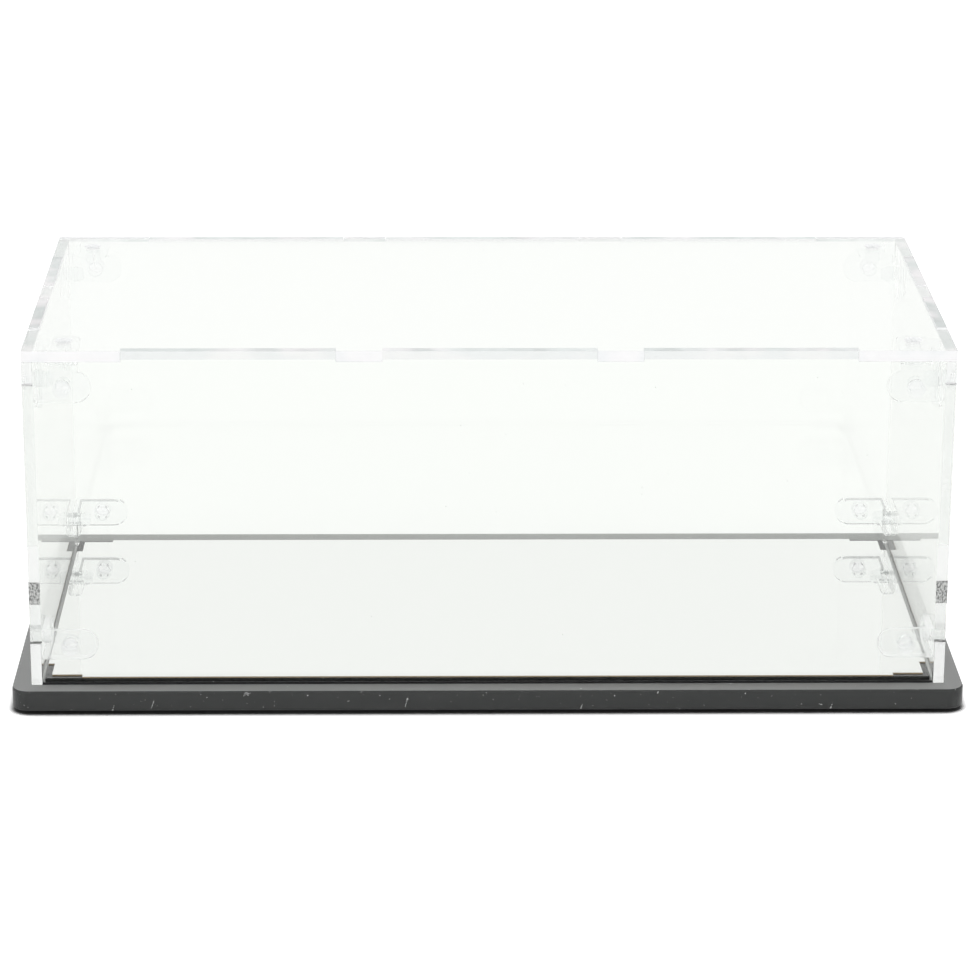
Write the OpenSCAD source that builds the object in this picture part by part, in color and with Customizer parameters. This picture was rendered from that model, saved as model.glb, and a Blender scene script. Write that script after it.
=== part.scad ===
// Clear display case: a lift-off cover of five finger-jointed sheets, held by corner connectors and
// snap rivets, that stands on a black base plate round a low plinth with a mirror sheet on it.
// Millimetres. Origin: centre of the footprint on the surface the feet stand on. Front is -Y, up is +Z.

/* [Cover] */
// Outer width of the cover, side to side
cover_w = 260; // [235:1:420]
// Outer depth of the cover, front to rear
cover_d = 124.6; // [110:0.2:300]
// Height of the cover above the base plate
cover_h = 98.8; // [60:0.2:300]
// Thickness of the clear sheet
wall_t = 3; // [2:0.5:5]
// Air gap at each face of a finger joint
joint_gap = 0.1; // [0.05:0.05:0.3]

/* [Finger joints] */
// Number of tabs along the top edge of the front and rear panels
front_tabs = 3; // [1:1:3]
// Width of each of those tabs
front_tab_w = 59.6; // [20:0.2:62]
// Number of tabs along the top edge of each side panel
side_tabs = 2; // [1:1:2]
// Width of each of those tabs
side_tab_w = 32.2; // [10:0.2:36]
// Space between two neighbouring tabs
tab_space = 13; // [6:0.5:16]
// Height of the side panels' lower corner tabs
lower_tab_h = 12.4; // [6:0.2:25]
// Distance from the cover's top down to the foot of the side panels' upper corner tabs
upper_tab_h = 9.9; // [7:0.1:25]

/* [Corner connectors] */
// Length of a connector's arm, from the wall it starts at
arm_l = 16; // [13:0.2:24]
// Width of a connector's arm
arm_w = 8.8; // [7:0.2:11]
// Thickness of a connector's arm
arm_t = 2; // [1.5:0.1:3]
// Chamfer along the inner edge of an arm
arm_chamfer = 0.6; // [0.2:0.1:1]
// Height of the lower connectors' centre line above the base plate
lower_arm_h = 11.3; // [10:0.1:30]
// Gap between a connector and the sheet it lies on
seat_gap = 0.1; // [0.05:0.05:0.3]

/* [Snap rivets] */
// Diameter of the rivet's shank
rivet_d = 3.8; // [3:0.1:4.5]
// Diameter of the flush head
rivet_head_d = 5; // [4.6:0.1:6]
// Depth of the countersunk head
rivet_head_h = 0.8; // [0.5:0.1:1.2]
// Diameter of the snap ring behind the arm
rivet_snap_d = 4.6; // [4.2:0.1:5.4]
// Length of the rivet's tail beyond the arm
rivet_tail = 3; // [2:0.1:4]
// Diameter of the blind hole in the head
rivet_eye_d = 1.2; // [0.6:0.1:1.6]
// Depth of the blind hole in the head
rivet_eye_h = 2; // [1:0.1:3]
// Width of the slot across the tail
rivet_slot_w = 0.6; // [0.3:0.1:1]
// Radial clearance round the rivet in its hole
rivet_clear = 0.1; // [0.05:0.05:0.2]

/* [Base plate] */
// Border of the base plate in front of the cover and at its sides
base_margin = 5.5; // [2:0.5:20]
// Border of the base plate behind the cover
rear_margin = 8.5; // [2:0.5:20]
// Thickness of the base plate
base_t = 6; // [3:0.5:12]
// Radius of the base plate's upright corners
base_corner_r = 5; // [1:0.5:15]
// Chamfer along the base plate's upper and lower edges
base_edge = 0.4; // [0.2:0.1:1]

/* [Plinth and mirror] */
// Thickness of the black plinth sheet
plinth_t = 1.2; // [1:0.1:5]
// Thickness of the mirror sheet
mirror_t = 0.4; // [0.2:0.1:2]
// Clearance from the plinth to the front and rear panels
plinth_gap_front = 0.2; // [0.1:0.1:1]
// Clearance from the plinth to the side panels
plinth_gap_side = 0.7; // [0.5:0.1:3]
// Length of the cut along each edge at the mirror's corners
notch_l = 10.5; // [5:0.5:20]
// Depth of that cut
notch_d = 1.8; // [1:0.1:4]

/* [Feet] */
// Diameter of a foot pad
foot_d = 9; // [6:0.5:16]
// Height of a foot pad
foot_h = 1; // [0.5:0.1:4]
// Distance from the base plate's edges to a foot's centre
foot_inset = 14; // [12:0.5:25]

/* [Hidden] */
// Facets of a full circle
$fn = 48;
// Overlap of cutting shapes past the faces they cut
cut = 1;
// Height of the base plate's upper face, on which the cover stands
floor_z = foot_h + base_t;
// Place of the cover's centre in front of the base plate's centre
cover_y = (base_margin - rear_margin) / 2;
// Distance from the cover's outer faces to the rivets' axes
rivet_inset = wall_t + seat_gap + arm_l / 2;
// Diameter of a rivet's hole in a sheet or an arm
hole_d = rivet_d + 2 * rivet_clear;
// Height of the sheets' shoulders under the top panel
shoulder_h = cover_h - wall_t - joint_gap;
// Height of the foot of the upper corner tabs
upper_foot_h = cover_h - upper_tab_h;
// Depth of the pockets and shoulders that take a sheet's edge
pocket_d = wall_t + joint_gap;
// Depth from a sheet's outer face to the far face of the arm behind it
grip = wall_t + seat_gap + arm_t;
// Heights of the rivets through the upright sheets
rivet_heights = [lower_arm_h, cover_h - rivet_inset];
SIDES = [-1, 1];
// Tints of the pieces
CLEAR = [0.90, 0.96, 0.95, 0.35];
MOULDED = [0.86, 0.93, 0.95, 0.6];
BLACK = [0.09, 0.09, 0.1];
PLINTH_BLACK = [0.05, 0.05, 0.05];
SILVER = [0.82, 0.84, 0.84];
RUBBER = [0.16, 0.16, 0.17];

// ---- helpers -------------------------------------------------------------------------------

// Stands a piece, made round the centre of the cover's footprint, in its place on the base plate
module on_base() {
    translate([0, cover_y, floor_z])
        children();
}

// Copies a piece made for the front left corner to the corner on side sx (left -1) and sy (front -1)
module at_corner(sx, sy) {
    mirror([sx > 0 ? 1 : 0, 0, 0])
        mirror([0, sy > 0 ? 1 : 0, 0])
            children();
}

// A rectangle from (x0, y0) to (x1, y1)
module span2d(x0, y0, x1, y1) {
    translate([x0, y0])
        square([x1 - x0, y1 - y0]);
}

// A row of count tabs of width w along X, centred, from height z0 to z1, each side moved out by grow
module tab_row(count, w, z0, z1, grow = 0) {
    pitch = w + tab_space;
    for (i = [0 : count - 1]) {
        x = (i - (count - 1) / 2) * pitch;
        span2d(x - w / 2 - grow, z0, x + w / 2 + grow, z1);
    }
}

// ---- sheets --------------------------------------------------------------------------------

// Outline of an upright sheet of full width w: ears reach the corner between the side panels' tabs
// when eared is true, and fill the corner at those tabs when it is false
module upright_outline(w, count, tab_w, eared) {
    inner = w / 2 - pocket_d;
    ear_low = lower_tab_h + joint_gap;
    ear_high = upper_foot_h - joint_gap;
    span2d(-inner, 0, inner, shoulder_h);
    if (eared)
        span2d(-w / 2, ear_low, w / 2, ear_high);
    if (!eared)
        span2d(-w / 2, 0, w / 2, lower_tab_h);
    if (!eared)
        span2d(-w / 2, upper_foot_h, w / 2, shoulder_h);
    tab_row(count, tab_w, shoulder_h - cut, cover_h);
}

// An upright sheet standing with its outer face at y = 0 and its thickness towards +Y, with its
// countersunk rivet holes
module upright_sheet(w, count, tab_w, eared) {
    difference() {
        rotate([90, 0, 0])
            translate([0, 0, -wall_t])
                linear_extrude(wall_t)
                    upright_outline(w, count, tab_w, eared);
        for (s = SIDES, h = rivet_heights)
            translate([s * (w / 2 - rivet_inset), 0, h])
                rotate([-90, 0, 0])
                    rivet_hole();
    }
}

// Space for a rivet in a sheet: its axis is Z, and the sheet's outer face lies at z = 0
module rivet_hole() {
    translate([0, 0, -cut])
        cylinder(d = hole_d, h = wall_t + 2 * cut);
    translate([0, 0, -cut])
        cylinder(d = rivet_head_d + 2 * rivet_clear, h = cut);
    cylinder(d1 = rivet_head_d + 2 * rivet_clear, d2 = hole_d, h = rivet_head_h);
}

module front_sheet() {
    translate([0, -cover_d / 2, 0])
        upright_sheet(cover_w, front_tabs, front_tab_w, true);
}

module side_sheet() {
    translate([-cover_w / 2, 0, 0])
        rotate([0, 0, -90])
            upright_sheet(cover_d, side_tabs, side_tab_w, false);
}

module front_panel() {
    color(CLEAR)
        on_base()
            front_sheet();
}

module rear_panel() {
    color(CLEAR)
        on_base()
            mirror([0, 1, 0])
                front_sheet();
}

module left_panel() {
    color(CLEAR)
        on_base()
            side_sheet();
}

module right_panel() {
    color(CLEAR)
        on_base()
            mirror([1, 0, 0])
                side_sheet();
}

module top_outline() {
    difference() {
        square([cover_w, cover_d], center = true);
        for (s = SIDES) {
            scale([1, s])
                tab_row(front_tabs, front_tab_w, cover_d / 2 - pocket_d, cover_d / 2 + cut, joint_gap);
            rotate(s * 90)
                tab_row(side_tabs, side_tab_w, cover_w / 2 - pocket_d, cover_w / 2 + cut, joint_gap);
        }
    }
}

module top_panel() {
    color(CLEAR)
        on_base()
            difference() {
                translate([0, 0, cover_h - wall_t])
                    linear_extrude(wall_t)
                        top_outline();
                for (sx = SIDES, sy = SIDES)
                    translate([sx * (cover_w / 2 - rivet_inset), sy * (cover_d / 2 - rivet_inset), cover_h])
                        rotate([180, 0, 0])
                            rivet_hole();
            }
}

// ---- corner connectors ---------------------------------------------------------------------

// One flat arm along +X from x = 0, centred on y = 0, lying on z = 0, with a round chamfered end
module arm() {
    straight = arm_l - arm_w / 2;
    flank = arm_t - arm_chamfer;
    half = arm_w / 2;
    rotate([90, 0, 90])
        linear_extrude(straight)
            polygon([
                [-half, 0], [half, 0], [half, flank],
                [half - arm_chamfer, arm_t], [arm_chamfer - half, arm_t], [-half, flank]
            ]);
    translate([straight, 0, 0])
        cylinder(d = arm_w, h = flank);
    translate([straight, 0, flank])
        cylinder(d1 = arm_w, d2 = arm_w - 2 * arm_chamfer, h = arm_chamfer);
}

// The hole for a rivet in the middle of an arm
module arm_hole() {
    translate([arm_l / 2, 0, -cut])
        cylinder(d = hole_d, h = arm_t + 2 * cut);
}

// An arm of a three-way connector: it lies half its length from the edge beside it, and a web runs
// across that space to the next arm
module webbed_arm() {
    translate([0, arm_l / 2, 0])
        arm();
    translate([(arm_l - arm_w) / 2, 0, 0])
        cube([arm_w, arm_l / 2, arm_t - arm_chamfer]);
}

module webbed_arm_hole() {
    translate([0, arm_l / 2, 0])
        arm_hole();
}

// Places an arm on each of the three sheets that meet at the front left top corner, in turn:
// along X on the front panel, along Z on the side panel and along Y on the top panel
module on_three_sheets() {
    translate([
        seat_gap + wall_t - cover_w / 2,
        seat_gap + wall_t - cover_d / 2,
        cover_h - wall_t - seat_gap
    ]) {
        rotate([-90, 0, 0])
            children();
        rotate([0, 90, 0])
            children();
        rotate(a = 180, v = [1, 1, 0])
            children();
    }
}

// Places an arm on each of the two sheets that meet at the front left lower corner
module on_two_sheets() {
    translate([
        seat_gap + wall_t - cover_w / 2,
        seat_gap + wall_t - cover_d / 2,
        lower_arm_h
    ]) {
        rotate([-90, 0, 0])
            children();
        rotate([90, 0, 90])
            children();
    }
}

module top_connector(sx, sy) {
    color(MOULDED)
        on_base()
            at_corner(sx, sy)
                difference() {
                    on_three_sheets()
                        webbed_arm();
                    on_three_sheets()
                        webbed_arm_hole();
                }
}

module lower_connector(sx, sy) {
    color(MOULDED)
        on_base()
            at_corner(sx, sy)
                difference() {
                    on_two_sheets()
                        arm();
                    on_two_sheets()
                        arm_hole();
                }
}

// ---- snap rivets ---------------------------------------------------------------------------

// A rivet along +Z with its flush head at z = 0: shank through sheet and arm, snap ring behind the
// arm, split tapered tail, and a blind eye in the head
module rivet() {
    ring_z = grip + rivet_clear;
    ring_h = (rivet_tail - rivet_clear) / 3;
    tip_h = rivet_tail - rivet_clear - ring_h;
    difference() {
        union() {
            cylinder(d1 = rivet_head_d, d2 = rivet_d, h = rivet_head_h);
            cylinder(d = rivet_d, h = ring_z + ring_h);
            translate([0, 0, ring_z])
                cylinder(d = rivet_snap_d, h = ring_h);
            translate([0, 0, ring_z + ring_h])
                cylinder(d1 = rivet_snap_d, d2 = rivet_d - rivet_slot_w, h = tip_h);
        }
        translate([0, 0, -cut])
            cylinder(d = rivet_eye_d, h = cut + rivet_eye_h);
        translate([-rivet_head_d, -rivet_slot_w / 2, grip - arm_t / 2])
            cube([2 * rivet_head_d, rivet_slot_w, arm_t / 2 + rivet_tail + cut]);
    }
}

// A rivet in an arm's own place, with its head at the sheet's outer face
module rivet_in_arm() {
    translate([arm_l / 2, 0, -seat_gap - wall_t])
        rivet();
}

module top_rivets(sx, sy) {
    color(MOULDED)
        on_base()
            at_corner(sx, sy)
                on_three_sheets()
                    translate([0, arm_l / 2, 0])
                        rivet_in_arm();
}

module lower_rivets(sx, sy) {
    color(MOULDED)
        on_base()
            at_corner(sx, sy)
                on_two_sheets()
                    rivet_in_arm();
}

// ---- base ----------------------------------------------------------------------------------

base_w = cover_w + 2 * base_margin;
base_d = cover_d + base_margin + rear_margin;

// Half of a plate's cross-section from its middle to half its width, with chamfered edges
module half_section(half, h, edge) {
    polygon([[0, 0], [half - edge, 0], [half, edge], [half, h - edge], [half - edge, h], [0, h]]);
}

// A bar of length l along Y, w wide and h high, with chamfered long edges
module chamfered_bar(l, w, h, edge) {
    translate([0, l / 2, 0])
        rotate([90, 0, 0])
            linear_extrude(l) {
                half_section(w / 2, h, edge);
                mirror([1, 0])
                    half_section(w / 2, h, edge);
            }
}

// A plate from z = 0 to h, w by d, with upright corners of radius r and chamfered edges
module base_blank(w, d, h, r, edge) {
    chamfered_bar(d - 2 * r, w, h, edge);
    rotate(90)
        chamfered_bar(w - 2 * r, d, h, edge);
    for (sx = SIDES, sy = SIDES)
        translate([sx * (w / 2 - r), sy * (d / 2 - r), 0])
            rotate_extrude()
                half_section(r, h, edge);
}

module base_plate() {
    color(BLACK)
        translate([0, 0, foot_h])
            base_blank(base_w, base_d, base_t, base_corner_r, base_edge);
}

plinth_w = cover_w - 2 * (wall_t + plinth_gap_side);
plinth_d = cover_d - 2 * (wall_t + plinth_gap_front);

module plinth_plate() {
    color(PLINTH_BLACK)
        on_base()
            translate([-plinth_w / 2, -plinth_d / 2, 0])
                cube([plinth_w, plinth_d, plinth_t]);
}

module mirror_sheet() {
    color(SILVER)
        on_base()
            translate([0, 0, plinth_t])
                linear_extrude(mirror_t)
                    difference() {
                        square([plinth_w, plinth_d], center = true);
                        for (sx = SIDES, sy = SIDES)
                            scale([sx, sy])
                                corner_cuts();
                    }
}

// The two cuts at the mirror's corner towards +X and +Y
module corner_cuts() {
    span2d(plinth_w / 2 - notch_l, plinth_d / 2 - notch_d, plinth_w / 2 + cut, plinth_d / 2 + cut);
    span2d(plinth_w / 2 - notch_d, plinth_d / 2 - notch_l, plinth_w / 2 + cut, plinth_d / 2 + cut);
}

module foot(sx, sy) {
    color(RUBBER)
        translate([sx * (base_w / 2 - foot_inset), sy * (base_d / 2 - foot_inset), 0])
            cylinder(d = foot_d, h = foot_h);
}

// ---- the pieces ----------------------------------------------------------------------------

base_plate();
plinth_plate();
mirror_sheet();
foot(-1, -1);  // foot_front_left
foot(1, -1);  // foot_front_right
foot(-1, 1);  // foot_rear_left
foot(1, 1);  // foot_rear_right
front_panel();
rear_panel();
left_panel();
right_panel();
top_panel();
top_connector(-1, -1);  // top_connector_front_left
top_connector(1, -1);  // top_connector_front_right
top_connector(-1, 1);  // top_connector_rear_left
top_connector(1, 1);  // top_connector_rear_right
lower_connector(-1, -1);  // lower_connector_front_left
lower_connector(1, -1);  // lower_connector_front_right
lower_connector(-1, 1);  // lower_connector_rear_left
lower_connector(1, 1);  // lower_connector_rear_right
top_rivets(-1, -1);  // top_rivets_front_left
top_rivets(1, -1);  // top_rivets_front_right
top_rivets(-1, 1);  // top_rivets_rear_left
top_rivets(1, 1);  // top_rivets_rear_right
lower_rivets(-1, -1);  // lower_rivets_front_left
lower_rivets(1, -1);  // lower_rivets_front_right
lower_rivets(-1, 1);  // lower_rivets_rear_left
lower_rivets(1, 1);  // lower_rivets_rear_right
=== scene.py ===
"""Looks of the clear display case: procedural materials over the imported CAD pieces, a white studio and the
camera. All lengths are in metres, in the part's own frame: X to the right, Y to the rear, Z up from the
shelf."""

import math

import bpy
from mathutils import Matrix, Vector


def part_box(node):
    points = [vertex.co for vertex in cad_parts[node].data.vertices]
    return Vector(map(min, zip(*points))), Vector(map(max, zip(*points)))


MM = 0.001

# ---- the picture ---------------------------------------------------------------------------------
# Its size, and the focal length, in pixels; the sensor in millimetres
PICTURE_W, PICTURE_H = 970, 971
FOCAL_PX = 3847.8
SENSOR = 36.0
CAMERA_AT = (-0.01986, -1.08669, 0.40698)
# Degrees that the camera looks down, turns to the side and leans
PITCH, YAW, ROLL = 18.404, -1.042, 0.245

# ---- studio --------------------------------------------------------------------------------------
FLOOR_SIZE = 8.0
# The floor for the light that it throws back, for the camera, and behind glass
FLOOR_COLOUR = (0.92, 0.92, 0.92, 1)
FLOOR_SEEN = (1.6, 1.6, 1.6, 1)
FLOOR_THROUGH_GLASS = (0.96, 0.96, 0.96, 1)
# The shadow in the gap under the base: how far up the floor looks for a cover, the open shares between which
# the shadow fades, and the brightness at those two shares
CONTACT_REACH = 2.5 * MM
CONTACT_OPEN = (0.55, 0.90)
CONTACT_SHADE = (0.04, 1.0)
SOFTBOX_SIZE = 1.2
SOFTBOX_AT = (0.0, -0.25, 1.7)
SOFTBOX_POWER = 2.0
# Enough for light that runs inside the sheets
BOUNCES = 40

# ---- finishes ------------------------------------------------------------------------------------
# Refractive indices. Those of the moulded pieces are low, so that they stay as faint as under strong light.
ACRYLIC_IOR = 1.49
MOULDED_IOR = 1.035
REAR_IOR = 1.010
RIVET_IOR = 1.005
# Clear materials, and how they tint the lamps' light
SHEET_TINT = (0.980, 0.992, 0.975, 1)
EDGE_TINT = (0.980, 0.990, 0.984, 1)
MOULDED_TINT = (0.985, 0.99, 0.99, 1)
# Grey tint on the rear connectors' chamfers: painted shade
RIM_PAINTED_SHADE = (0.50, 0.51, 0.51, 1)
LAMP_THROUGH_SHEET = (0.99, 0.99, 0.99, 1)
LAMP_THROUGH_MOULDED = (0.98, 0.98, 0.98, 1)
# Plain black and white, the frost on cut edges, and the white haze in clear pieces
BLACK = (0.0, 0.0, 0.0, 1)
WHITE = (1.0, 1.0, 1.0, 1)
FROST_WHITE = (0.98, 0.975, 0.98, 1)
FROST_TEAL = (0.84, 0.89, 0.875, 1)
FROST_PINK = (0.82, 0.80, 0.81, 1)
FROST_GREY = (0.62, 0.66, 0.65, 1)
FROST_CLEAN = (0.93, 0.945, 0.955, 1)
FROST_BRIGHT = (0.99, 0.985, 0.99, 1)
GRAIN_WHITE = (0.96, 0.97, 0.97, 1)
HAZE_WHITE = (0.97, 0.98, 0.98, 1)
# The base, the plinth, the mirror and the feet
BASE_BLACK = (0.018, 0.019, 0.019, 1)
BASE_SAWN = (0.020, 0.022, 0.021, 1)
# The base's top: partly a thin film of dust, partly painted light from above
BASE_DUST_AND_LIGHT_THIN = (0.080, 0.084, 0.081, 1)
BASE_DUST_AND_LIGHT_THICK = (0.128, 0.134, 0.129, 1)
BASE_TOP_REAR = (0.165, 0.170, 0.165, 1)
PLINTH_BLACK = (0.011, 0.011, 0.012, 1)
PLINTH_EDGE = (0.006, 0.007, 0.006, 1)
MIRROR_SILVER = (0.912, 0.912, 0.912, 1)
MIRROR_EDGE = (0.30, 0.21, 0.11, 1)
MIRROR_EDGE_PALE = (0.34, 0.26, 0.14, 1)
RUBBER_BLACK = (0.018, 0.018, 0.019, 1)
RUBBER_GREY = (0.035, 0.035, 0.036, 1)
DUST_WHITE = (0.62, 0.63, 0.62, 1)
# Painted shade on the faces inside the front sheet's corner joints
JOINT_PAINTED_SHADE = (0.03, 0.035, 0.03, 1)
# Where the base's top turns lighter, rearward from the rear sheet's inner face
REAR_BAND = (-1.8 * MM, 6.2 * MM)
# Levels of the noise above which the base's edge is chipped or scratched, how strong those marks are, and the
# slant of the scratches
CHIP_FROM = 0.450
SCRATCH_FROM = 0.822
MARK_STRENGTH = 0.6
SCRATCH_LEAN = math.radians(20)
# Share of white haze in the side sheets' faces
SIDE_HAZE = 0.08
# Air under a sheet's foot that still counts as standing on the base
CONTACT_AIR = 0.3 * MM
# Heights of the frosted stretch on the side sheets' front edges; its lower half has black marks, a painted
# reflection of the black base
STRETCH_LOW, STRETCH_MIDDLE, STRETCH_HIGH = 30.5 * MM, 37.2 * MM, 48 * MM
STRETCH_FROST = 0.85
# For each axis of a sheet's thickness: the frosted shares, the roughness and the relief of its upright edges
UPRIGHT_FINISH = {
    0: ((0.02, 0.10), 0.10, 0.2),
    1: ((0.02, 0.10), 0.10, 0.15),
    2: ((0.85, 0.95), 0.10, 0.1),
}
UPPER_FINISH = ((0.65, 0.90), 0.10, 0.1)

# ---- places on the pieces ------------------------------------------------------------------------
# The axis along which each sheet's thickness lies
SHEETS = {
    "front_panel": 1,
    "rear_panel": 1,
    "left_panel": 0,
    "right_panel": 0,
    "top_panel": 2,
}
# A sheet's material slots
FACE, UPRIGHT, UPPER, FOOT, HOLE, JOINT = range(6)
# A connector's: its arms, its light rim and its shaded chamfers
ARM, RIM, CHAMFER = range(3)
# The share of a normal along an axis above which a polygon faces along it
FACE_ALIGNED = 0.99
# The same share along Z between which a connector's polygon is one of its chamfers
CHAMFER_RISE = (0.65, 0.90)
# The faces inside the rear joints lie closer than this to the rear sheet's inner face
JOINT_REACH = 0.2 * MM
# Facets of the rivet holes' walls are smaller than this
ROUND_FACET = 2.0 * MM * MM
# Widths of the bevels on the arrises, and the air round the base plate
SHEET_BEVEL = 0.10 * MM
BASE_BEVEL = 0.15 * MM
CONNECTOR_BEVEL = 0.12 * MM
BEVEL_ANGLE = math.radians(40)
WELD_REACH = 0.001 * MM
AIR = 0.03 * MM


# ---- node helpers --------------------------------------------------------------------------------
class Shader:
    """A material's node tree, with short ways to add nodes and join them."""

    def __init__(self, name):
        self.material = bpy.data.materials.new(name)
        self.material.use_nodes = True
        self.tree = self.material.node_tree
        self.tree.nodes.clear()
        self.place = self.add("ShaderNodeTexCoord").outputs["Object"]

    def add(self, kind, settings=None, **sockets):
        """A node of this kind. Settings are its properties. Sockets are its inputs by name, with _ for a
        space."""
        made = self.tree.nodes.new(kind)
        for key, value in (settings or {}).items():
            setattr(made, key, value)
        for key, value in sockets.items():
            self.put(made.inputs[key.replace("_", " ")], value)
        return made

    def put(self, socket, value):
        """Links another node's output to the socket, or sets the socket to a plain value."""
        if isinstance(value, bpy.types.NodeSocket):
            self.tree.links.new(value, socket)
        else:
            socket.default_value = value

    def math(self, operation, a, b):
        """The result of this operation on two values."""
        made = self.add("ShaderNodeMath", {"operation": operation})
        self.put(made.inputs[0], a)
        self.put(made.inputs[1], b)
        return made.outputs[0]

    def scaled(self, factors):
        """The place on the object, with each axis multiplied."""
        made = self.add("ShaderNodeMapping", Vector=self.place, Scale=factors)
        return made.outputs[0]

    def noise(self, scale, detail=2.0, rough=0.5, at=None):
        """Noise of this many waves a metre, from 0 to 1."""
        made = self.add(
            "ShaderNodeTexNoise", Vector=at or self.place, Scale=scale, Detail=detail, Roughness=rough
        )
        return made.outputs["Fac"]

    def ramp(self, value, low, high, out_low=0.0, out_high=1.0):
        """out_low where the value is low or less, out_high where it is high or more, and straight between."""
        made = self.add(
            "ShaderNodeMapRange", Value=value, From_Min=low, From_Max=high, To_Min=out_low, To_Max=out_high
        )
        return made.outputs[0]

    def between(self, value, low, high):
        """1 where the value lies between low and high."""
        over = self.math("GREATER_THAN", value, low)
        return self.math("MULTIPLY", over, self.math("LESS_THAN", value, high))

    def blend(self, share, a, b):
        """Colour a where share is 0 and b where it is 1. The Mix node's colours are its sockets 6 and 7."""
        made = self.add("ShaderNodeMix", {"data_type": "RGBA"})
        for index, value in ((0, share), (6, a), (7, b)):
            self.put(made.inputs[index], value)
        return made.outputs[2]

    def bump(self, height, distance, strength, normal=None):
        """The normals of a relief that is this distance high where height is 1, on top of other normals."""
        made = self.add("ShaderNodeBump", Height=height, Distance=distance, Strength=strength)
        if normal:
            self.put(made.inputs["Normal"], normal)
        return made.outputs["Normal"]

    def mix(self, share, first, second):
        """The first shader where share is 0 and the second where it is 1."""
        made = self.add("ShaderNodeMixShader")
        for index, value in enumerate((share, first, second)):
            self.put(made.inputs[index], value)
        return made.outputs[0]

    def finish(self, shader):
        """The material, with this shader on its surface."""
        out = self.add("ShaderNodeOutputMaterial")
        self.tree.links.new(shader, out.inputs["Surface"])
        return self.material

    def lets_light_through(self, glass, clear):
        """Lamps shine straight through the glass: shadow and diffuse rays meet a Transparent shader."""
        rays = self.add("ShaderNodeLightPath")
        lamp_ray = self.math("MAXIMUM", rays.outputs["Is Shadow Ray"], rays.outputs["Is Diffuse Ray"])
        open_air = self.add("ShaderNodeBsdfTransparent", Color=clear)
        return self.mix(lamp_ray, glass, open_air.outputs[0])

    def specks(self, scale, size, share):
        """1 inside small round specks, one in each Voronoi cell, in about this share of the cells."""
        cells = self.add("ShaderNodeTexVoronoi", Vector=self.place, Scale=scale)
        near = self.math("LESS_THAN", cells.outputs["Distance"], size)
        chance = self.add("ShaderNodeSeparateColor", Color=cells.outputs["Color"]).outputs[0]
        return self.math("MULTIPLY", near, self.math("LESS_THAN", chance, share))


def sheet_face(name, haze):
    """Polished face of the clear sheet: almost colourless, with faint wiping marks, a little dust and this
    share of white haze."""
    s = Shader(name)
    smear = s.ramp(s.noise(26.0, 3.0, 0.6), 0.55, 0.80, 0.0, 0.018)
    dust = s.specks(240.0, 0.035, 0.10)
    glass = s.add(
        "ShaderNodeBsdfPrincipled",
        Base_Color=SHEET_TINT,
        Roughness=smear,
        IOR=ACRYLIC_IOR,
        Transmission_Weight=1.0,
    )
    speck = s.add("ShaderNodeBsdfPrincipled", Base_Color=DUST_WHITE, Roughness=0.9)
    veil = s.add("ShaderNodeBsdfPrincipled", Base_Color=WHITE, Roughness=0.6)
    dusty = s.mix(dust, s.mix(haze, glass.outputs[0], veil.outputs[0]), speck.outputs[0])
    return s.finish(s.lets_light_through(dusty, LAMP_THROUGH_SHEET))


def cut_edge(axis, name, tints, frost, rough, relief):
    """Cut edge of a sheet whose thickness lies along this axis: fine ridges of this relief across the
    thickness, and patches frosted in these two tints, to between the two shares of frost."""
    s = Shader("clear_sheet_" + name + "_" + "xyz"[axis])
    across = [1.0, 1.0, 1.0]
    across[axis] = 0.04
    ridges = s.noise(2600.0, 2.0, 0.55, s.scaled(across))
    waves = s.noise(260.0, 2.0, 0.5, s.scaled(across))
    patches = s.noise(70.0, 2.0, 0.5)
    normal = s.bump(waves, 0.10 * MM, relief, s.bump(ridges, 0.02 * MM, relief))
    glass = s.add(
        "ShaderNodeBsdfPrincipled",
        Base_Color=EDGE_TINT,
        Roughness=s.ramp(patches, 0.3, 0.7, rough * 0.4, rough * 1.6),
        IOR=ACRYLIC_IOR,
        Transmission_Weight=1.0,
        Normal=normal,
    )
    white = s.add(
        "ShaderNodeBsdfPrincipled",
        Base_Color=s.blend(s.ramp(patches, 0.42, 0.58), *tints),
        Roughness=0.5,
        Normal=normal,
    )
    share = s.ramp(s.noise(110.0, 2.0, 0.5), 0.25, 0.75, *frost)
    surface = s.mix(share, glass.outputs[0], white.outputs[0])
    # The side sheets' edges carry black marks, a painted reflection of the black base
    if axis == 0:
        surface = frosted_with_painted_reflection(s, surface)
    return s.finish(s.lets_light_through(surface, LAMP_THROUGH_SHEET))


def frosted_with_painted_reflection(s, surface):
    """A frosted stretch of the side sheets' edges, with black marks in its lower half: a painted reflection
    of the black base.
    """
    height = s.add("ShaderNodeSeparateXYZ", Vector=s.place).outputs["Z"]
    white = s.add("ShaderNodeBsdfPrincipled", Base_Color=WHITE, Roughness=0.5)
    painted_black = s.add("ShaderNodeBsdfPrincipled", Base_Color=BASE_BLACK, Roughness=0.4)
    marks = s.ramp(s.noise(1500.0, 2.0, 0.6, s.scaled((1.6, 1.0, 0.8))), 0.42, 0.60, 0.35, 0.95)
    marks = s.math("MULTIPLY", marks, s.between(height, STRETCH_LOW, STRETCH_MIDDLE))
    frosted = s.math("MULTIPLY", s.between(height, STRETCH_LOW, STRETCH_HIGH), STRETCH_FROST)
    return s.mix(marks, s.mix(frosted, surface, white.outputs[0]), painted_black.outputs[0])


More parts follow.
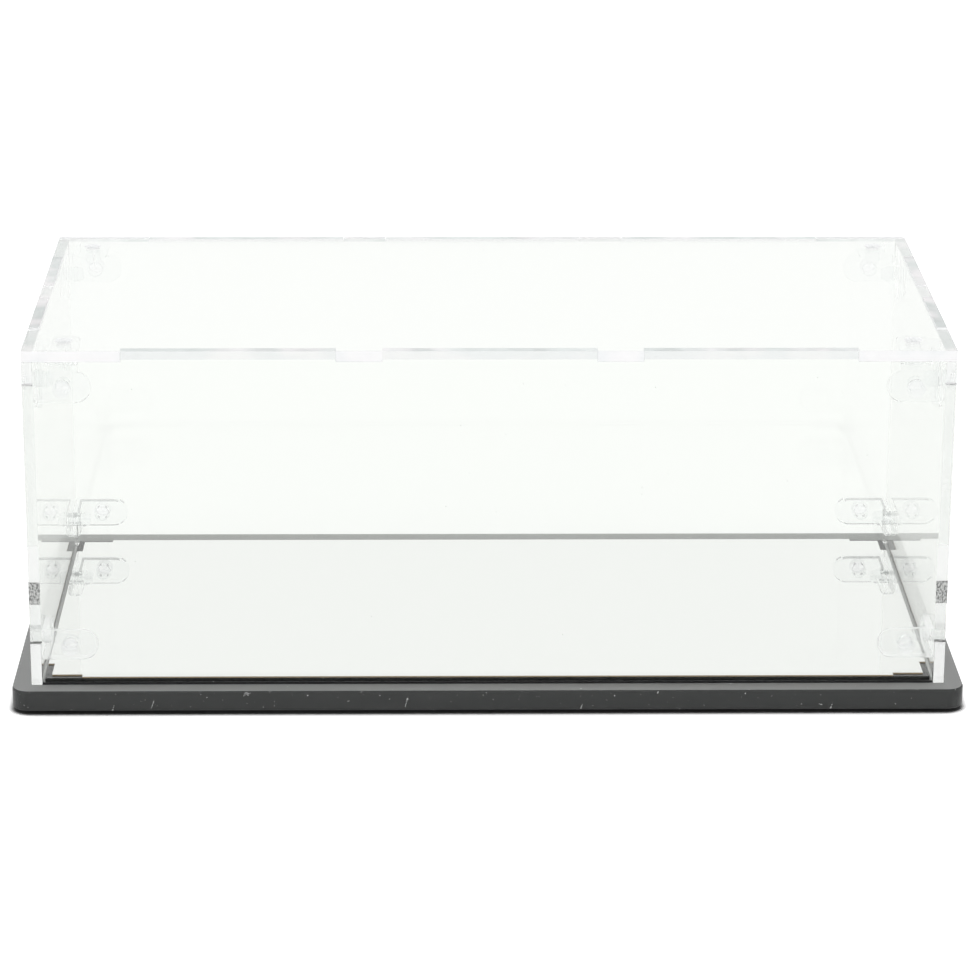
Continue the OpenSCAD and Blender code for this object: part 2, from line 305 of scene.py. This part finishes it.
def polished_edge(name, painted_contact_shade=False):
    """Smooth lower edge of a sheet, on which the cover stands. With its second argument set, the edge is
    painted black where the base plate lies against it, as painted shade for the dark that the black plinth
    and base throw into it, and it is clear once the cover is lifted."""
    s = Shader(name)
    glass = s.add(
        "ShaderNodeBsdfPrincipled",
        Base_Color=EDGE_TINT,
        Roughness=s.ramp(s.noise(200.0), 0.4, 0.8, 0.0, 0.02),
        IOR=ACRYLIC_IOR,
        Transmission_Weight=1.0,
    )
    surface = glass.outputs[0]
    if painted_contact_shade:
        # Painted shade: black where the base plate lies just below the edge
        beneath = s.add("ShaderNodeAmbientOcclusion", {"samples": 4, "inside": True}, Distance=CONTACT_AIR)
        painted_shade_mask = s.math("LESS_THAN", beneath.outputs["AO"], 0.5)
        painted_black = s.add("ShaderNodeBsdfDiffuse", Color=PLINTH_BLACK)
        surface = s.mix(painted_shade_mask, surface, painted_black.outputs[0])
    return s.finish(s.lets_light_through(surface, LAMP_THROUGH_SHEET))


def joint_edge():
    """Edge inside the front sheet's corner joints, which shows as a dark line: painted shade between the
    parts.
    """
    s = Shader("clear_sheet_joint")
    body = s.add("ShaderNodeBsdfPrincipled", Base_Color=JOINT_PAINTED_SHADE, Roughness=0.4)
    clear = s.add("ShaderNodeBsdfTransparent")
    return s.finish(s.mix(s.ramp(s.noise(900.0), 0.4, 0.6, 0.3, 0.9), clear.outputs[0], body.outputs[0]))


def filled_edge(name, white_share):
    """Cut edge that another piece fills, so that it hardly shows: clear, with this share of white grain."""
    s = Shader(name)
    grain = s.noise(1800.0, 2.0, 0.5)
    white = s.add(
        "ShaderNodeBsdfPrincipled",
        Base_Color=s.blend(grain, GRAIN_WHITE, WHITE),
        Roughness=0.5,
    )
    clear = s.add("ShaderNodeBsdfTransparent")
    share = s.ramp(grain, 0.3, 0.7, white_share * 0.8, white_share * 1.2)
    return s.finish(s.mix(share, clear.outputs[0], white.outputs[0]))


def moulded_clear(name, rough, haze, ior=MOULDED_IOR, tint=MOULDED_TINT):
    """Injection-moulded clear plastic: slightly wavy, with this share of soft haze."""
    s = Shader(name)
    flow = s.noise(420.0, 2.0, 0.5)
    normal = s.bump(flow, 0.05 * MM, 0.3)
    glass = s.add(
        "ShaderNodeBsdfPrincipled",
        Base_Color=tint,
        Roughness=s.ramp(s.noise(900.0), 0.3, 0.7, rough * 0.6, rough * 1.4),
        IOR=ior,
        Transmission_Weight=1.0,
        Normal=normal,
    )
    frost = s.add(
        "ShaderNodeBsdfPrincipled",
        Base_Color=s.blend(flow, HAZE_WHITE, WHITE),
        Roughness=0.5,
        Normal=normal,
    )
    mixed = s.mix(haze, glass.outputs[0], frost.outputs[0])
    return s.finish(s.lets_light_through(mixed, LAMP_THROUGH_MOULDED))


def base_top():
    """Satin black sheet with specks of dust. Its top is lighter than its sawn edges, partly from a thin film
    of dust and partly as painted light from above, and lighter again towards the rear.
    """
    s = Shader("base_top")
    grain = s.noise(1500.0, 3.0, 0.6)
    cloud = s.noise(28.0, 3.0, 0.6)
    normal = s.bump(grain, 0.006 * MM, 0.5)
    dust = s.math("MAXIMUM", s.specks(420.0, 0.09, 0.05), s.specks(1100.0, 0.10, 0.03))
    rear_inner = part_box("rear_panel")[0].y
    rearward = s.add("ShaderNodeSeparateXYZ", Vector=s.place).outputs["Y"]
    at_rear = s.ramp(rearward, *(rear_inner + reach for reach in REAR_BAND))
    # Partly dust, partly painted light from above; lighter towards the rear
    dust_and_light = s.blend(at_rear, s.blend(cloud, BASE_DUST_AND_LIGHT_THIN, BASE_DUST_AND_LIGHT_THICK), BASE_TOP_REAR)
    body = s.add(
        "ShaderNodeBsdfPrincipled",
        Base_Color=s.blend(dust, dust_and_light, DUST_WHITE),
        Roughness=s.ramp(cloud, 0.3, 0.7, 0.28, 0.36),
        IOR=ACRYLIC_IOR,
        Sheen_Weight=0.5,
        Sheen_Roughness=0.4,
        Normal=normal,
    )
    return s.finish(body.outputs[0])


def base_side():
    """Sawn and scraped edge of the black sheet, with small white chips and a few short scratches."""
    s = Shader("base_side")
    grain = s.noise(1500.0, 3.0, 0.6)
    jagged = s.noise(3200.0, 2.0, 0.6)
    rough_spots = s.math("MULTIPLY", s.noise(620.0, 2.0, 0.5), s.noise(2400.0, 2.0, 0.6))
    chips = s.math("GREATER_THAN", rough_spots, CHIP_FROM)
    slanted = s.add(
        "ShaderNodeMapping",
        {"vector_type": "TEXTURE"},
        Vector=s.place,
        Rotation=(0.0, SCRATCH_LEAN, 0.0),
        Scale=(1.0, 1.0, 9.0),
    )
    leaning = s.noise(900.0, 0.0, 0.5, slanted.outputs[0])
    broken = s.math("GREATER_THAN", jagged, 0.5)
    scratches = s.math("MULTIPLY", s.math("GREATER_THAN", leaning, SCRATCH_FROM), broken)
    rubbed = s.math("MULTIPLY", s.math("MAXIMUM", chips, scratches), MARK_STRENGTH)
    marks = s.math("MAXIMUM", rubbed, s.specks(700.0, 0.10, 0.03))
    body = s.add(
        "ShaderNodeBsdfPrincipled",
        Base_Color=s.blend(marks, BASE_SAWN, DUST_WHITE),
        Roughness=0.26,
        IOR=ACRYLIC_IOR,
        Normal=s.bump(grain, 0.006 * MM, 0.5),
    )
    return s.finish(body.outputs[0])


def plinth_black(name, colour, shine, rough):
    """Black sheet with a little dust: its gloss face, or its dull sawn edge."""
    s = Shader(name)
    normal = s.bump(s.noise(1200.0, 2.0), 0.004 * MM, 0.4)
    dust = s.specks(700.0, 0.08, 0.04)
    body = s.add(
        "ShaderNodeBsdfPrincipled",
        Base_Color=s.blend(dust, colour, DUST_WHITE),
        Roughness=s.ramp(s.noise(40.0), 0.3, 0.7, rough * 0.7, rough * 1.3),
        Specular_IOR_Level=shine,
        Normal=normal,
    )
    return s.finish(body.outputs[0])


def mirror_face():
    """Silvered sheet: untinted, with very slight waviness and a little dust."""
    s = Shader("mirror_face")
    normal = s.bump(s.noise(14.0, 1.0), 0.02 * MM, 0.25)
    dust = s.specks(300.0, 0.04, 0.08)
    body = s.add(
        "ShaderNodeBsdfPrincipled",
        Base_Color=s.blend(dust, MIRROR_SILVER, DUST_WHITE),
        Metallic=s.math("SUBTRACT", 1.0, dust),
        Roughness=s.ramp(s.noise(30.0, 3.0), 0.3, 0.8, 0.012, 0.03),
        Normal=normal,
    )
    return s.finish(body.outputs[0])


def mirror_edge():
    """Cut edge of the mirror sheet: the brown backing paint shows."""
    s = Shader("mirror_edge")
    along = s.noise(900.0, 2.0)
    body = s.add(
        "ShaderNodeBsdfPrincipled",
        Base_Color=s.blend(along, MIRROR_EDGE, MIRROR_EDGE_PALE),
        Roughness=0.45,
        Normal=s.bump(along, 0.02 * MM, 0.6),
    )
    return s.finish(body.outputs[0])


def foot_rubber():
    """Dark rubber with a fine grain."""
    s = Shader("foot_rubber")
    grain = s.noise(2500.0, 3.0)
    body = s.add(
        "ShaderNodeBsdfPrincipled",
        Base_Color=s.blend(grain, RUBBER_BLACK, RUBBER_GREY),
        Roughness=s.ramp(grain, 0.3, 0.7, 0.6, 0.85),
        Normal=s.bump(grain, 0.03 * MM, 0.6),
    )
    return s.finish(body.outputs[0])


# ---- dressing the CAD nodes ----------------------------------------------------------------------
def dress(node, *materials):
    """Gives a CAD node these materials in place of the ones it came with."""
    slots = node.data.materials
    slots.clear()
    for m in materials:
        slots.append(m)


def soften(node, width):
    """Takes the knife edge off a CAD node: its split faces are joined and its arrises get a tiny bevel."""
    weld = node.modifiers.new("join_faces", "WELD")
    weld.merge_threshold = WELD_REACH
    bevel = node.modifiers.new("arris", "BEVEL")
    bevel.width = width
    bevel.segments = 2
    bevel.limit_method = "ANGLE"
    bevel.angle_limit = BEVEL_ANGLE
    bevel.harden_normals = True
    bevel.use_clamp_overlap = True


def draw_in(node, depth):
    """Leaves a hair of air round a CAD node, so that the clear sheets on it keep their own faces."""
    shrink = node.modifiers.new("hair_of_air", "DISPLACE")
    shrink.strength = -depth
    shrink.mid_level = 0.0


def split_faces(node, axis):
    """The polygons that face along the axis take the face's slot, and the cut edges the next."""
    for polygon in node.data.polygons:
        flat = abs(polygon.normal[axis]) > FACE_ALIGNED
        polygon.material_index = FACE if flat else UPRIGHT


def split_cut_edges(node):
    """Of a sheet's cut edges, those that face up or down take slots of their own, and so do the walls of the
    rivet holes, which are small, the faces inside the rear joints, and the level edges of the front sheet's
    ears, which reach over the ends of the side sheets."""
    rear_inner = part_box("rear_panel")[0].y
    side_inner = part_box("right_panel")[0].x
    for polygon in node.data.polygons:
        if polygon.material_index != UPRIGHT:
            continue
        level = abs(polygon.normal.z) > FACE_ALIGNED
        faces_rear = polygon.normal.y > FACE_ALIGNED
        in_joint = faces_rear and abs(polygon.center.y - rear_inner) < JOINT_REACH
        if polygon.area < ROUND_FACET or in_joint:
            polygon.material_index = HOLE
        elif node.name == "front_panel" and level and abs(polygon.center.x) > side_inner:
            polygon.material_index = JOINT
        elif polygon.normal.z > FACE_ALIGNED:
            polygon.material_index = UPPER
        elif polygon.normal.z < -FACE_ALIGNED:
            polygon.material_index = FOOT


def dress_sheets(nodes):
    """The clear sheets: a material for each slot."""
    face = sheet_face("clear_sheet_face", 0.0)
    side_face = sheet_face("clear_sheet_face_side", SIDE_HAZE)
    foot = polished_edge("clear_sheet_foot")
    # The front sheet's foot is painted black as shade where it stands on the base
    front_foot_painted_shade = polished_edge("clear_sheet_foot_front_painted_shade", painted_contact_shade=True)
    filled = filled_edge("clear_sheet_hole", 0.10)
    filled_level = filled_edge("clear_sheet_hole_level", 0.80)
    joint = joint_edge()
    plain_tints = (FROST_TEAL, FROST_WHITE)
    for name, axis in SHEETS.items():
        upright_tints = (FROST_CLEAN, FROST_BRIGHT) if axis == 2 else plain_tints
        upper_tints = (FROST_GREY, FROST_PINK) if axis == 0 else plain_tints
        dress(
            nodes[name],
            side_face if axis == 0 else face,
            cut_edge(axis, "edge", upright_tints, *UPRIGHT_FINISH[axis]),
            cut_edge(axis, "upper_edge", upper_tints, *UPPER_FINISH),
            front_foot_painted_shade if name == "front_panel" else foot,
            filled_level if axis == 2 else filled,
            joint,
        )
        split_faces(nodes[name], axis)
        split_cut_edges(nodes[name])


def dress_fittings(nodes):
    """The connectors and rivets. The lower connectors have a pale frosted rim in front, and behind, chamfers
    tinted grey as painted shade."""
    clear = moulded_clear("moulded_connector", 0.04, 0.02, REAR_IOR)
    milky = moulded_clear("moulded_connector_milky", 0.10, 0.10)
    rim = moulded_clear("moulded_rim", 0.12, 0.45)
    # The rear connectors' chamfers are tinted grey: painted shade
    painted_shade_rim = moulded_clear("moulded_rim_painted_shade", 0.10, 0.20, REAR_IOR, RIM_PAINTED_SHADE)
    rivet = moulded_clear("moulded_rivet", 0.08, 0.05, RIVET_IOR)
    for name, node in nodes.items():
        if name.startswith("top_connector"):
            dress(node, milky if "front" in name else clear)
            soften(node, CONNECTOR_BEVEL)
        if name.startswith("lower_connector"):
            dress(node, milky if "front" in name else clear, rim, painted_shade_rim)
            split_connector(node)
            soften(node, CONNECTOR_BEVEL)
        if "rivets" in name:
            dress(node, rivet)


def split_connector(node):
    """A front connector's rim takes its own slot, and so do a rear connector's chamfers."""
    for polygon in node.data.polygons:
        x, y, z = (abs(share) for share in polygon.normal)
        if "front" in node.name and max(x, y) <= FACE_ALIGNED:
            polygon.material_index = RIM
        if "rear" in node.name and CHAMFER_RISE[0] < z < CHAMFER_RISE[1]:
            polygon.material_index = CHAMFER


def dress_base(nodes):
    """The base plate, the plinth, the mirror and the feet."""
    dress(nodes["base_plate"], base_top(), base_side())
    split_faces(nodes["base_plate"], 2)
    soften(nodes["base_plate"], BASE_BEVEL)
    draw_in(nodes["base_plate"], AIR)
    dress(
        nodes["plinth_plate"],
        plinth_black("plinth_face", PLINTH_BLACK, 0.5, 0.07),
        plinth_black("plinth_edge", PLINTH_EDGE, 0.1, 0.6),
    )
    split_faces(nodes["plinth_plate"], 2)
    soften(nodes["plinth_plate"], SHEET_BEVEL)
    dress(nodes["mirror_sheet"], mirror_face(), mirror_edge())
    split_faces(nodes["mirror_sheet"], 2)
    rubber = foot_rubber()
    for name, node in nodes.items():
        if name.startswith("foot_"):
            dress(node, rubber)
            soften(node, BASE_BEVEL)


# ---- studio --------------------------------------------------------------------------------------
def make_world():
    """Plain white all round."""
    world = bpy.data.worlds.new("studio")
    bpy.context.scene.world = world
    world.use_nodes = True
    tree = world.node_tree
    tree.nodes.clear()
    background = tree.nodes.new("ShaderNodeBackground")
    background.inputs["Color"].default_value = WHITE
    out = tree.nodes.new("ShaderNodeOutputWorld")
    tree.links.new(background.outputs[0], out.inputs["Surface"])


def make_floor():
    """Matt floor, white where it is looked at and plain for the light that it throws back. It keeps the
    object's shadow, which deepens in the narrow gap under the base."""
    bpy.ops.mesh.primitive_plane_add(size=FLOOR_SIZE)
    floor = bpy.context.object
    floor.name = "floor"
    s = Shader("floor_white")
    plain = s.add("ShaderNodeBsdfDiffuse", Color=FLOOR_COLOUR)
    near = s.add("ShaderNodeAmbientOcclusion", {"samples": 8}, Distance=CONTACT_REACH).outputs["AO"]
    shade = s.ramp(near, *CONTACT_OPEN, *CONTACT_SHADE)
    seen = s.add("ShaderNodeBsdfDiffuse", Color=s.blend(shade, BLACK, FLOOR_SEEN))
    beyond = s.add("ShaderNodeBsdfDiffuse", Color=FLOOR_THROUGH_GLASS)
    rays = s.add("ShaderNodeLightPath")
    second = s.math("MAXIMUM", rays.outputs["Is Glossy Ray"], rays.outputs["Is Transmission Ray"])
    body = s.mix(second, plain.outputs[0], beyond.outputs[0])
    body = s.mix(rays.outputs["Is Camera Ray"], body, seen.outputs[0])
    floor.data.materials.append(s.finish(body))


def make_lamps():
    """One large soft box straight above."""
    lamp = bpy.data.lights.new("softbox", "AREA")
    lamp.shape = "SQUARE"
    lamp.size = SOFTBOX_SIZE
    lamp.energy = SOFTBOX_POWER
    holder = bpy.data.objects.new("softbox", lamp)
    holder.location = SOFTBOX_AT
    holder.visible_camera = False
    holder.visible_glossy = False
    holder.visible_transmission = False
    bpy.context.scene.collection.objects.link(holder)


def make_camera():
    """The photograph's view."""
    p, y, r = (math.radians(a) for a in (PITCH, YAW, ROLL))
    turn = Matrix(((math.cos(y), math.sin(y), 0), (-math.sin(y), math.cos(y), 0), (0, 0, 1)))
    tilt = Matrix(((1, 0, 0), (0, math.cos(p), -math.sin(p)), (0, math.sin(p), math.cos(p))))
    lean = Matrix(((math.cos(r), 0, math.sin(r)), (0, 1, 0), (-math.sin(r), 0, math.cos(r))))
    right, ahead, up = lean @ tilt @ turn
    camera = bpy.data.objects.new("camera", bpy.data.cameras.new("camera"))
    camera.data.sensor_width = SENSOR
    camera.data.lens = FOCAL_PX * SENSOR / max(PICTURE_W, PICTURE_H)
    pose = Matrix((right, up, -ahead)).transposed().to_4x4()
    pose.translation = CAMERA_AT
    camera.matrix_world = pose
    bpy.context.scene.collection.objects.link(camera)
    bpy.context.scene.camera = camera


def make_settings():
    """Enough bounces for light that runs inside the sheets, and plain colours."""
    scene = bpy.context.scene
    scene.view_settings.view_transform = "Standard"
    scene.cycles.max_bounces = BOUNCES
    scene.cycles.glossy_bounces = BOUNCES
    scene.cycles.transmission_bounces = BOUNCES
    scene.cycles.transparent_max_bounces = BOUNCES


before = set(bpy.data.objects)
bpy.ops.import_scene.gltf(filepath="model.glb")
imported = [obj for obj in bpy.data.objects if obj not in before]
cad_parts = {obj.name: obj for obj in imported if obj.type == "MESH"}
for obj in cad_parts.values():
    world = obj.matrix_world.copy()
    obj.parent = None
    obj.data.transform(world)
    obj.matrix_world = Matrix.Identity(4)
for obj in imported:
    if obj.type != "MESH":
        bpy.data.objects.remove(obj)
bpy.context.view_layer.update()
make_settings()
make_camera()
make_world()
make_floor()
make_lamps()
dress_sheets(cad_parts)
dress_fittings(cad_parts)
dress_base(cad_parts)
